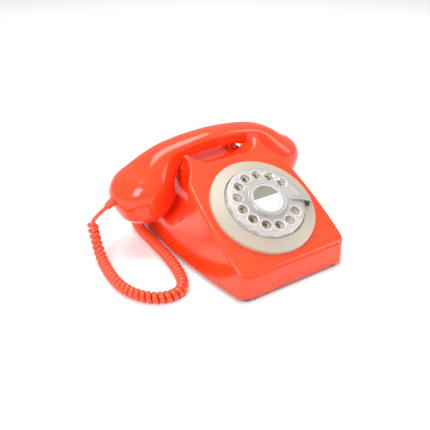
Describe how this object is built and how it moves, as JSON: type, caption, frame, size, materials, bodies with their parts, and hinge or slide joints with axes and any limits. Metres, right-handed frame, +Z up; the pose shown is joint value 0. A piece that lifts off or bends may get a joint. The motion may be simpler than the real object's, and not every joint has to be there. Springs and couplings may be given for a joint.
{
  "type": "rotary telephone",
  "caption": "Wedge-shaped desk telephone with a clear finger wheel on a cream ring, a handset across a horned cradle and a curly handset cord.",
  "frame": {"origin": "centre of the object's box on the table, without the cord", "axes": "+X to the right seen from the front, +Y from the dial towards the back, +Z up"},
  "size_m": [0.2644, 0.2341, 0.1106],
  "materials": {
    "case_gloss": "gloss",
    "cord_plastic": "satin",
    "bezel_cream": "satin",
    "wheel_clear": "clear gloss",
    "card_paper": "matt paper",
    "stop_metal": "satin",
    "steel": "plain",
    "brass": "satin",
    "coil_copper": "lacquered wire",
    "dial_metal": "satin",
    "inner_plastic": "matt",
    "board_green": "satin",
    "foot_rubber": "matt"
  },
  "bodies": {
    "case": {"upper_housing": "case_gloss", "base_plate": "inner_plastic", "rubber_feet": "foot_rubber", "base_screws": "steel", "dial_bezel": "bezel_cream", "number_plate": "bezel_cream", "dial_frame": "dial_metal", "spindle_bush": "brass", "dial_posts": "steel", "gear_plate": "dial_metal", "governor_housing": "brass", "pulse_contacts": "inner_plastic", "mainspring": "steel", "finger_stop": "stop_metal", "plunger_springs": "steel", "hook_switch": "inner_plastic", "gong_left": "brass", "gong_right": "brass", "gong_screws": "steel", "ringer_yoke": "steel", "ringer_coils": "coil_copper", "circuit_board": "board_green", "board_posts": "inner_plastic", "board_components": "inner_plastic", "line_jack": "inner_plastic", "cord_gland": "cord_plastic", "base_lead": "cord_plastic", "curly_cord": "cord_plastic"},
    "dial_wheel": {"finger_wheel": "wheel_clear", "hub_ring": "wheel_clear", "number_card": "card_paper", "card_cover": "wheel_clear", "main_spindle": "steel", "main_gear": "brass", "pulse_cam": "inner_plastic"},
    "idler": {"idler_gear": "brass"},
    "governor": {"governor_rotor": "steel"},
    "hook_plungers": {"cradle_plunger_left": "case_gloss", "cradle_plunger_right": "case_gloss", "plunger_bridge": "inner_plastic"},
    "clapper": {"clapper": "steel"},
    "handset": {"handset_shell": "case_gloss", "earpiece_cap": "case_gloss", "mouthpiece_cap": "case_gloss", "receiver_capsule": "inner_plastic", "microphone_capsule": "inner_plastic", "strain_relief": "cord_plastic", "handset_lead": "cord_plastic"}
  },
  "joints": [
    {"name": "dial_turn", "type": "hinge", "parent": "case", "child": "dial_wheel", "pos_m": [0, -0.04848, 0.05923], "axis": [0, -0.4879, 0.8729], "range_deg": [-330, 0], "stiffness_Nm_per_rad": 0.004, "springref_deg": 85.94, "deforming": ["mainspring"]},
    {"name": "idler_turn", "type": "hinge", "parent": "case", "child": "idler", "pos_m": [-0.02114, -0.0552, 0.05547], "axis": [0, -0.4879, 0.8729], "range_deg": [-5, 1325]},
    {"name": "governor_turn", "type": "hinge", "parent": "case", "child": "governor", "pos_m": [-0.02114, -0.06515, 0.04991], "axis": [0, -0.4879, 0.8729], "range_deg": [-4955, 5]},
    {"name": "handset_lift", "type": "slide", "parent": "case", "child": "handset", "axis": [0, 0, 1], "range_m": [0, 0.08]},
    {"name": "plunger_travel", "type": "slide", "parent": "case", "child": "hook_plungers", "axis": [0, 0, 1], "range_m": [0, 0.005], "deforming": ["plunger_springs"]},
    {"name": "clapper_swing", "type": "hinge", "parent": "case", "child": "clapper", "pos_m": [0, 0.028, 0.015], "axis": [0, 0, 1], "range_deg": [-2, 2]}
  ],
  "couplings": [
    {"joint": "idler_turn", "follows": "dial_turn", "ratio": -4},
    {"joint": "governor_turn", "follows": "dial_turn", "ratio": 15},
    {"joint": "plunger_travel", "follows": "handset_lift", "ratio": 0.0625}
  ]
}
